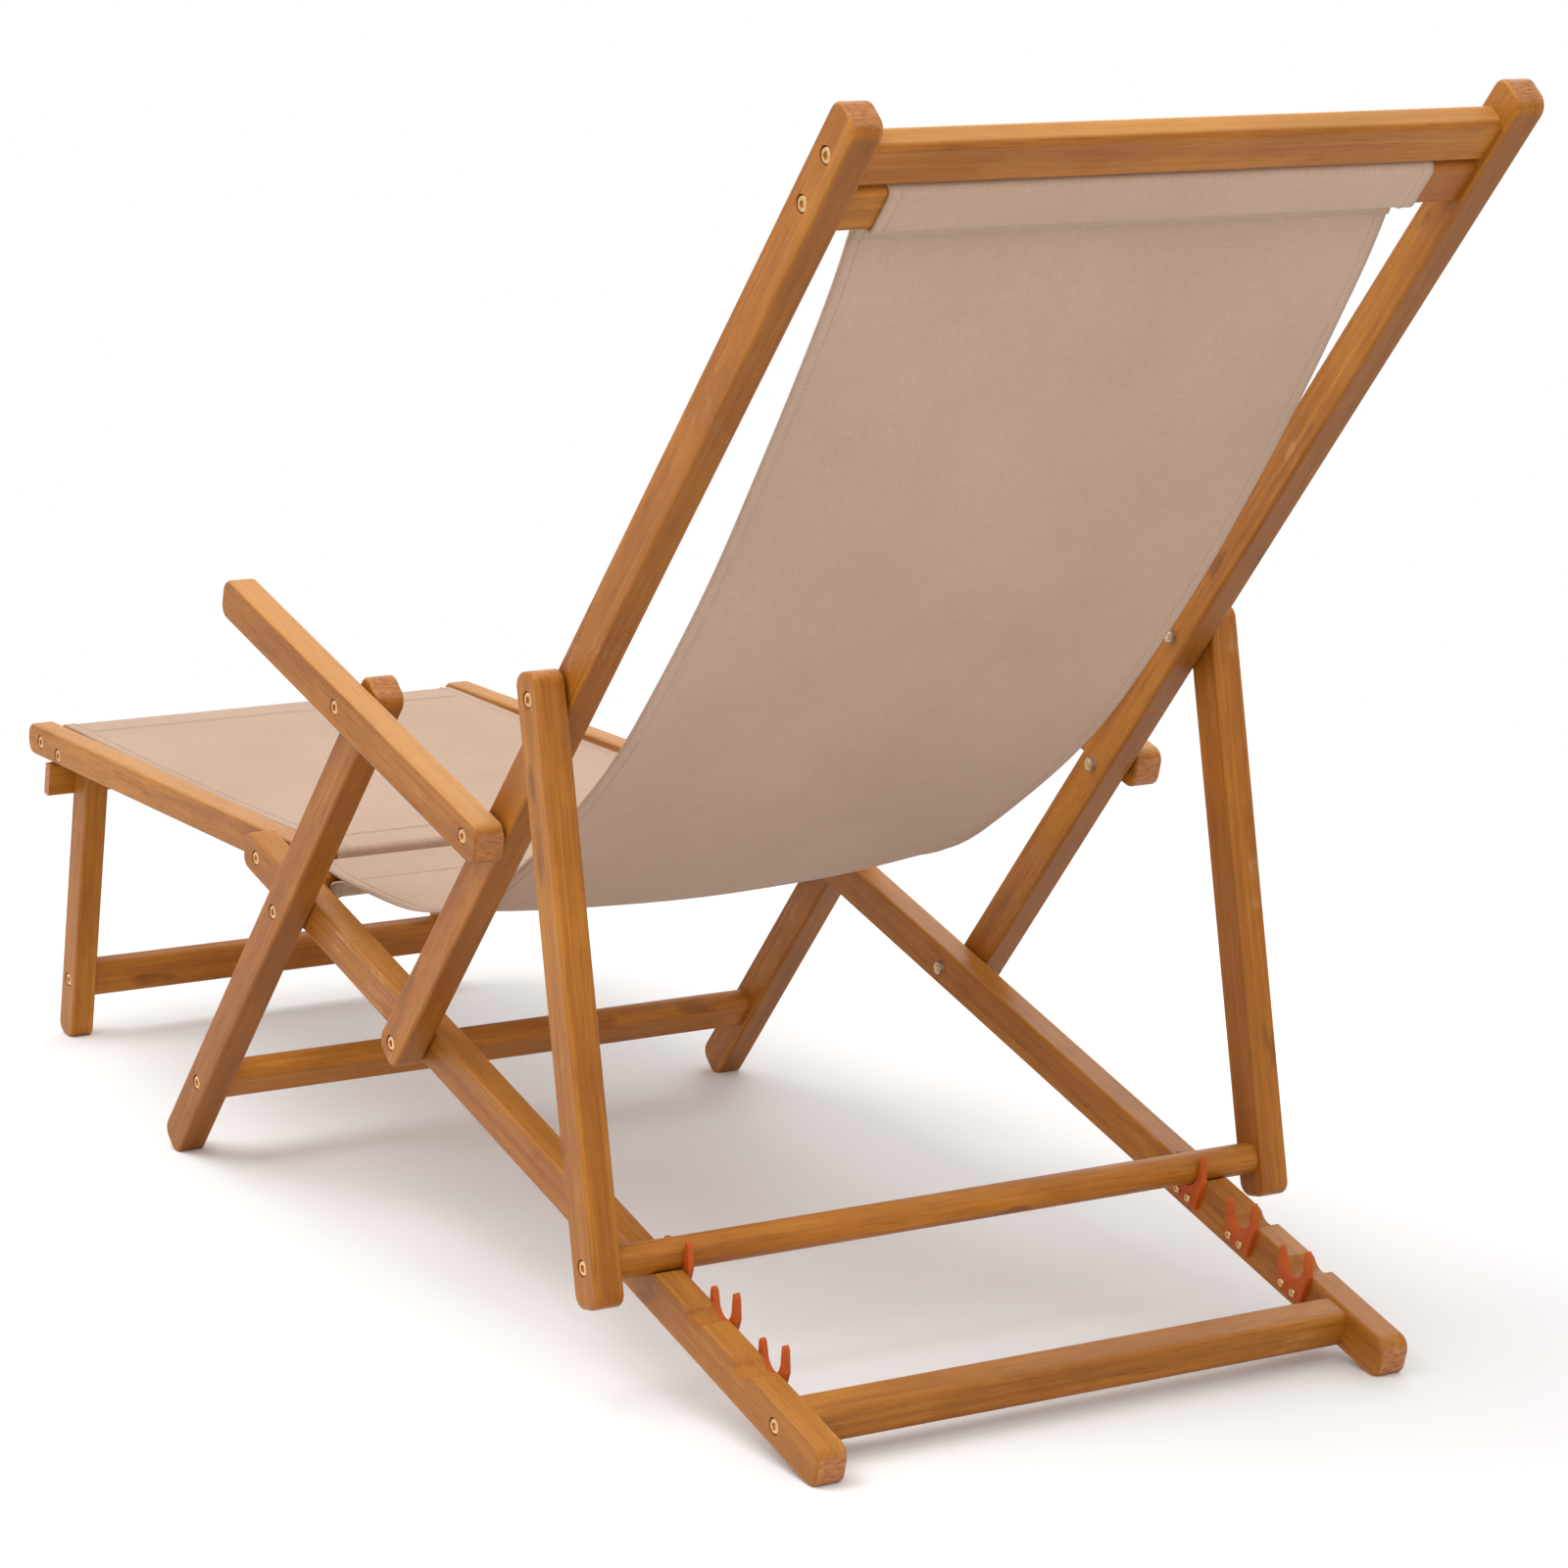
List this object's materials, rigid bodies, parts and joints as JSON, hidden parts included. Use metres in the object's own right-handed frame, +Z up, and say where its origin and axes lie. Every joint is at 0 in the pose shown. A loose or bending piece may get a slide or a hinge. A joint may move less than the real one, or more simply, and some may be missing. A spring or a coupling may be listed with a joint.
{
  "type": "folding sun lounger",
  "caption": "Folding wooden deck chair with a cloth sling seat, armrests, a notched reclining prop and a cloth footrest on folding legs.",
  "frame": {"origin": "middle of the bounding box, on the floor", "axes": "+X forward to the footrest, +Y to the sitter's left, +Z up"},
  "size_m": [1.5323, 0.598, 0.9275],
  "materials": {
    "wood": "oiled",
    "cloth": "woven matte",
    "clip": "moulded",
    "fastener": "plated"
  },
  "bodies": {
    "base_frame": {"base_rail_left": "wood", "base_rail_right": "wood", "rear_crossbar": "wood", "rear_crossbar_screws": "fastener", "seat_front_bar": "wood", "clip_1_left": "clip", "clip_1_right": "clip", "clip_2_left": "clip", "clip_2_right": "clip", "clip_3_left": "clip", "clip_3_right": "clip", "clip_screws": "fastener", "front_leg_pivot_bolts": "fastener", "back_pivot_bolts": "fastener", "footrest_pivot_bolts": "fastener", "base_nuts": "fastener", "base_washers": "fastener", "seat_sling": "cloth"},
    "back_frame": {"back_rail_left": "wood", "back_rail_right": "wood", "top_crossbar": "wood", "sling_bar": "wood", "back_bar_screws": "fastener", "armrest_rear_bolts": "fastener", "prop_bolts": "fastener", "back_nuts": "fastener", "back_washers": "fastener"},
    "front_legs": {"front_leg_left": "wood", "front_leg_right": "wood", "front_leg_crossbar": "wood", "front_leg_screws": "fastener", "armrest_front_bolts": "fastener", "front_leg_nuts": "fastener", "front_leg_washers": "fastener"},
    "armrest_left": {"armrest_left": "wood"},
    "armrest_right": {"armrest_right": "wood"},
    "prop": {"prop_leg_left": "wood", "prop_leg_right": "wood", "prop_dowel": "wood", "dowel_screws": "fastener"},
    "footrest": {"footrest_rail_left": "wood", "footrest_rail_right": "wood", "footrest_front_bar": "wood", "footrest_rear_bar": "wood", "footrest_bar_screws": "fastener", "footrest_leg_bolts": "fastener", "footrest_leg_nuts": "fastener", "footrest_leg_washers": "fastener", "footrest_cloth": "cloth"},
    "footrest_legs": {"footrest_leg_left": "wood", "footrest_leg_right": "wood", "footrest_leg_crossbar": "wood", "footrest_leg_screws": "fastener", "footrest_stop_bar": "wood", "stop_bar_screws": "fastener"}
  },
  "joints": [
    {"name": "back_fold", "type": "hinge", "parent": "base_frame", "child": "back_frame", "pos_m": [-0.09016, 0, 0.1838], "axis": [0, 1, 0], "range_deg": [0, 100], "deforming": ["seat_sling"]},
    {"name": "front_leg_swing", "type": "hinge", "parent": "base_frame", "child": "front_legs", "pos_m": [0.12207, 0, 0.24546], "axis": [0, 1, 0], "range_deg": [0, 100]},
    {"name": "armrest_left_pivot", "type": "hinge", "parent": "back_frame", "child": "armrest_left", "pos_m": [-0.26749, 0, 0.37937], "axis": [0, 1, 0], "range_deg": [-100, 0]},
    {"name": "armrest_right_pivot", "type": "hinge", "parent": "back_frame", "child": "armrest_right", "pos_m": [-0.26749, 0, 0.37937], "axis": [0, 1, 0], "range_deg": [-100, 0]},
    {"name": "prop_swing", "type": "hinge", "parent": "back_frame", "child": "prop", "pos_m": [-0.37262, 0, 0.49531], "axis": [0, 1, 0], "range_deg": [-25, 0]},
    {"name": "footrest_fold", "type": "hinge", "parent": "base_frame", "child": "footrest", "pos_m": [0.20945, 0, 0.27085], "axis": [0, -1, 0], "range_deg": [0, 28]},
    {"name": "footrest_leg_fold", "type": "hinge", "parent": "footrest", "child": "footrest_legs", "pos_m": [0.69348, 0, 0.27369], "axis": [0, 1, 0], "range_deg": [0, 95]}
  ],
  "couplings": [
    {"joint": "front_leg_swing", "follows": "back_fold", "ratio": 1},
    {"joint": "armrest_left_pivot", "follows": "back_fold", "ratio": -1},
    {"joint": "armrest_right_pivot", "follows": "back_fold", "ratio": -1},
    {"joint": "prop_swing", "follows": "back_fold", "ratio": -0.25}
  ]
}
